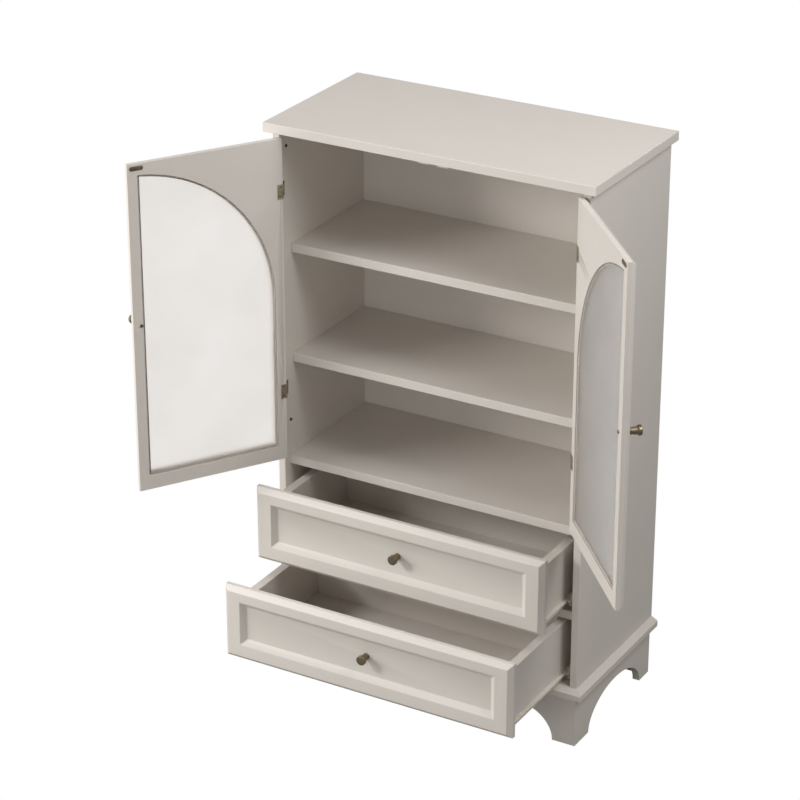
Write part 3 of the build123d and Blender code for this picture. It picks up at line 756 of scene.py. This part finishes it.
class ARMOIRE_OT_screws(bpy.types.Operator):
    """Drives the cross-head screws of the hinges and knobs"""

    bl_idname = "armoire.screws"
    bl_label = "Screws"

    def execute(self, context):
        levels = [h + rise for h in HINGE_HEIGHTS for rise in (-HINGE_SCREW_RISE, HINGE_SCREW_RISE)]
        maker = bmesh.new()
        for side in ("left", "right"):
            for z in levels:
                place = facing((-1, 0, 0), (INNER_SIDE - LEAF_THICK, FRAME_SCREW_Y, z))
                joined(maker, cross_head(LEAF_SCREW, True), across(side) @ place)
        settle(maker, "frame_hinge_screws_driven", "frame_hinge_screws")
        x, height = DOOR_KNOB
        for side in ("left", "right"):
            maker = bmesh.new()
            for z in levels:
                place = facing((0, 1, 0), (DOOR_SCREW_X, FRONTS_BACK + LEAF_THICK, z))
                joined(maker, cross_head(LEAF_SCREW, True), door_swing(side) @ place)
            place = facing((0, 1, 0), (x, FRONTS_BACK + KNOB_BOLT_HEAD, height))
            joined(maker, cross_head(KNOB_BOLT, False), door_swing(side) @ place)
            settle(maker, f"{side}_door_screws_driven", f"{side}_door_screws")
        for drawer in ("upper", "lower"):
            maker = bmesh.new()
            behind = (0.0, FRONTS_BACK + KNOB_BOLT_HEAD, DRAWER_KNOB_HEIGHT[drawer])
            joined(maker, cross_head(KNOB_BOLT, False), pulled(drawer) @ facing((0, 1, 0), behind))
            settle(maker, f"{drawer}_knob_screw_driven", f"{drawer}_knob_screw")
        return {"FINISHED"}


class ARMOIRE_OT_catches(bpy.types.Operator):
    """Makes the magnetic catches, their strike plates and the rubber studs that the doors meet"""

    bl_idname = "armoire.catches"
    bl_label = "Catches, plates and studs"

    def strike_plate(self, side):
        """A flat slot-shaped plate held by a screw at each end."""
        sizes = bpy.context.scene.armoire_fittings
        radius = sizes.plate_height / 2
        reach = sizes.plate_length / 2 - radius
        plate = bmesh.new()
        bmesh.ops.create_circle(plate, cap_ends=True, radius=radius, segments=40)
        for vert in plate.verts:
            vert.co.x += reach if vert.co.x > 0 else -reach
        raised = bmesh.ops.extrude_face_region(plate, geom=plate.faces[:])["geom"]
        lifted = [g for g in raised if isinstance(g, bmesh.types.BMVert)]
        bmesh.ops.translate(plate, vec=(0.0, 0.0, PLATE_THICK * MM), verts=lifted)
        bmesh.ops.recalc_face_normals(plate, faces=plate.faces)
        rim = [e for e in plate.edges if all(v.co.z > PLATE_THICK * MM / 2 for v in e.verts)]
        bmesh.ops.bevel(plate, geom=rim, offset=PLATE_EDGE * MM, offset_type="OFFSET", segments=2,
                        profile=0.5, affect="EDGES", material=-1)
        for end in (-1.0, 1.0):
            place = Matrix.Translation((end * reach, 0.0, 1.0 * MM))
            joined(plate, cross_head(PLATE_SCREW, True), place)
        maker = bmesh.new()
        x, z = STRIKE_CENTRE
        joined(maker, plate, door_swing(side) @ facing((0, 1, 0), (x, FRONTS_BACK, z)))
        settle(maker, f"{side}_strike_plate_pressed", f"{side}_strike_plate")

    def catch(self):
        """A plastic case with an ear each side, and the ends of two steel poles at its front."""
        case = rounded_block(*CATCH_CASE)
        for block in (CATCH_EARS, *CATCH_POLES):
            joined(case, rounded_block(*block), Matrix.Identity(4))
        return case

    def execute(self, context):
        for side in ("left", "right"):
            self.strike_plate(side)
        maker = bmesh.new()
        for side in ("left", "right"):
            joined(maker, self.catch(), across(side) @ Matrix.Translation(Vector(CATCH_CENTRE) * MM))
        catches = settle(maker, "magnetic_catches_moulded", "magnetic_catches")
        catches.data.materials.append(bpy.data.materials["magnet_steel"])
        for face in catches.data.polygons:
            in_front = face.center.y < (CATCH_CENTRE[1] - POLE_FRONT) * MM
            if in_front and abs(face.center.x) < POLE_REACH * MM:
                face.material_index = 1
        maker = bmesh.new()
        for side in ("left", "right"):
            for z in STUD_HEIGHTS:
                place = facing((-1, 0, 0), (INNER_SIDE, STUD_Y, z))
                joined(maker, turned(in_metres(STUD), steps=24), across(side) @ place)
        settle(maker, "door_stop_studs_moulded", "door_stop_studs", math.radians(60))
        return {"FINISHED"}


class ARMOIRE_OT_slides(bpy.types.Operator):
    """Powder-coats the drawer slides and moulds their nylon rollers"""

    bl_idname = "armoire.slides"
    bl_label = "Slides and rollers"

    def pair(self, place):
        """The places of a left and a right roller."""
        return [Matrix.Translation(Vector((x, *place)) * MM) for x in (-ROLLER_X, ROLLER_X)]

    def rollers(self, name, places):
        """A pair of rollers: a rounded tread with a sunk web each side of the bore."""
        section = list(HALF_ROLLER)
        section += [(radius, -height) for radius, height in reversed(section)]
        section.append(section[0])
        maker = bmesh.new()
        for place in places:
            wheel = turned(in_metres(section), steps=40)
            joined(maker, wheel, place @ Matrix.Rotation(math.radians(90), 4, "Y"))
        settle(maker, f"{name}_moulded", name)

    def execute(self, context):
        radius = context.scene.armoire_edges.sheet
        for node in ("cabinet_slides", "upper_drawer_slides", "lower_drawer_slides"):
            eased_board(node, radius)
        for drawer in ("upper", "lower"):
            self.rollers(f"{drawer}_front_rollers", self.pair(FRONT_ROLLER[drawer]))
            riding = [pulled(drawer) @ place for place in self.pair(REAR_ROLLER[drawer])]
            self.rollers(f"{drawer}_rear_rollers", riding)
        return {"FINISHED"}


class ARMOIRE_OT_stage(bpy.types.Operator):
    """Sets up the pale floor, the soft lights and the camera"""

    bl_idname = "armoire.stage"
    bl_label = "Studio"

    def floor(self):
        """A wide floor, which isn't part of the armoire."""
        maker = bmesh.new()
        bmesh.ops.create_grid(maker, x_segments=1, y_segments=1, size=FLOOR_REACH)
        mesh = bpy.data.meshes.new("studio_floor")
        maker.to_mesh(mesh)
        maker.free()
        floor = bpy.data.objects.new("studio_floor", mesh)
        bpy.context.scene.collection.objects.link(floor)
        material, output, place = new_material("studio_vinyl")
        drift = spread(material, grain(material, place, 900.0, 1.0), 0.0, 1.0)
        tone = blend_colours(material, drift, linear("#93938F"), linear("#989894"))
        matt = add_node(material, "ShaderNodeBsdfDiffuse", {"Color": tone})
        white = {"Color": (1.0, 1.0, 1.0, 1.0), "Strength": 1.0}
        glow = add_node(material, "ShaderNodeEmission", white)
        # seen lit evenly from below, as a light table is, it lights the cabinet only softly
        path = add_node(material, "ShaderNodeLightPath").outputs
        rays = {0: path["Is Camera Ray"], 1: path["Is Transmission Ray"]}
        seen = add_node(material, "ShaderNodeMath", rays, operation="MAXIMUM")
        sides = {0: seen.outputs[0], 1: matt.outputs[0], 2: glow.outputs[0]}
        mix = add_node(material, "ShaderNodeMixShader", sides)
        material.node_tree.links.new(mix.outputs[0], output.inputs["Surface"])
        mesh.materials.append(material)

    def softbox(self, name, power, size, place, aim):
        """A square light at a place, turned to face a point."""
        light = bpy.data.lights.new(name, "AREA")
        light.energy = power
        light.shape = "SQUARE"
        light.size = size
        lamp = bpy.data.objects.new(name, light)
        bpy.context.scene.collection.objects.link(lamp)
        turn = (Vector(aim) - Vector(place)).to_track_quat("-Z", "Y").to_matrix().to_4x4()
        lamp.matrix_world = Matrix.Translation(place) @ turn
        lamp.visible_camera = False
        return light

    def execute(self, context):
        scene = context.scene
        studio = scene.armoire_studio
        self.floor()
        for name, (size, place, aim) in SOFTBOXES.items():
            light = self.softbox(f"{name}_softbox", getattr(studio, name), size, place, aim)
            if name == "side":
                light.color = SIDE_TINT
        world = bpy.data.worlds.new("studio_walls")
        world.use_nodes = True
        background = world.node_tree.nodes["Background"]
        background.inputs["Color"].default_value = WALL_TINT
        background.inputs["Strength"].default_value = studio.surround
        scene.world = world
        camera = bpy.data.objects.new("camera", bpy.data.cameras.new("camera"))
        scene.collection.objects.link(camera)
        camera.data.sensor_width = SENSOR_WIDTH
        camera.data.lens = studio.lens
        camera.location = CAMERA_PLACE
        camera.rotation_euler = (math.radians(CAMERA_TILT), 0.0, math.radians(CAMERA_PAN))
        scene.camera = camera
        scene.view_settings.view_transform = "Standard"
        return {"FINISHED"}


PIECE_OPERATORS = (
    ARMOIRE_OT_carcass,
    ARMOIRE_OT_base,
    ARMOIRE_OT_joinery,
    ARMOIRE_OT_doors,
    ARMOIRE_OT_drawers,
    ARMOIRE_OT_knobs,
    ARMOIRE_OT_hinges,
    ARMOIRE_OT_screws,
    ARMOIRE_OT_catches,
    ARMOIRE_OT_slides,
    ARMOIRE_OT_stage,
)


class ARMOIRE_PT_panel(bpy.types.Panel):
    """Lists the steps of the build with their settings"""

    bl_idname = "ARMOIRE_PT_panel"
    bl_label = "Armoire"
    bl_space_type = "VIEW_3D"
    bl_region_type = "UI"
    bl_category = "Armoire"

    def draw(self, context):
        for group in SETTINGS:
            settings = getattr(context.scene, group)
            for name in settings.bl_rna.properties.keys():
                if name not in ("rna_type", "name"):
                    self.layout.prop(settings, name)
        for step in PIECE_OPERATORS:
            self.layout.operator(step.bl_idname)


SETTINGS = {
    "armoire_edges": ArmoireEdges,
    "armoire_fittings": ArmoireFittings,
    "armoire_colours": ArmoireColours,
    "armoire_studio": ArmoireStudio,
}


def register():
    """Registers the settings, the steps and the panel."""
    for group in SETTINGS.values():
        bpy.utils.register_class(group)
    for name, group in SETTINGS.items():
        setattr(bpy.types.Scene, name, bpy.props.PointerProperty(type=group))
    for step in PIECE_OPERATORS:
        bpy.utils.register_class(step)
    bpy.utils.register_class(ARMOIRE_PT_panel)


def unregister():
    """Takes back what register did, in the opposite order."""
    bpy.utils.unregister_class(ARMOIRE_PT_panel)
    for step in reversed(PIECE_OPERATORS):
        bpy.utils.unregister_class(step)
    for name, group in SETTINGS.items():
        delattr(bpy.types.Scene, name)
        bpy.utils.unregister_class(group)


def main():
    """Builds the armoire step by step."""
    register()
    bpy.ops.armoire.carcass()
    bpy.ops.armoire.base()
    bpy.ops.armoire.joinery()
    bpy.ops.armoire.doors()
    bpy.ops.armoire.drawers()
    bpy.ops.armoire.knobs()
    bpy.ops.armoire.hinges()
    bpy.ops.armoire.screws()
    bpy.ops.armoire.catches()
    bpy.ops.armoire.slides()
    bpy.ops.armoire.stage()


if __name__ == "__main__":
    main()
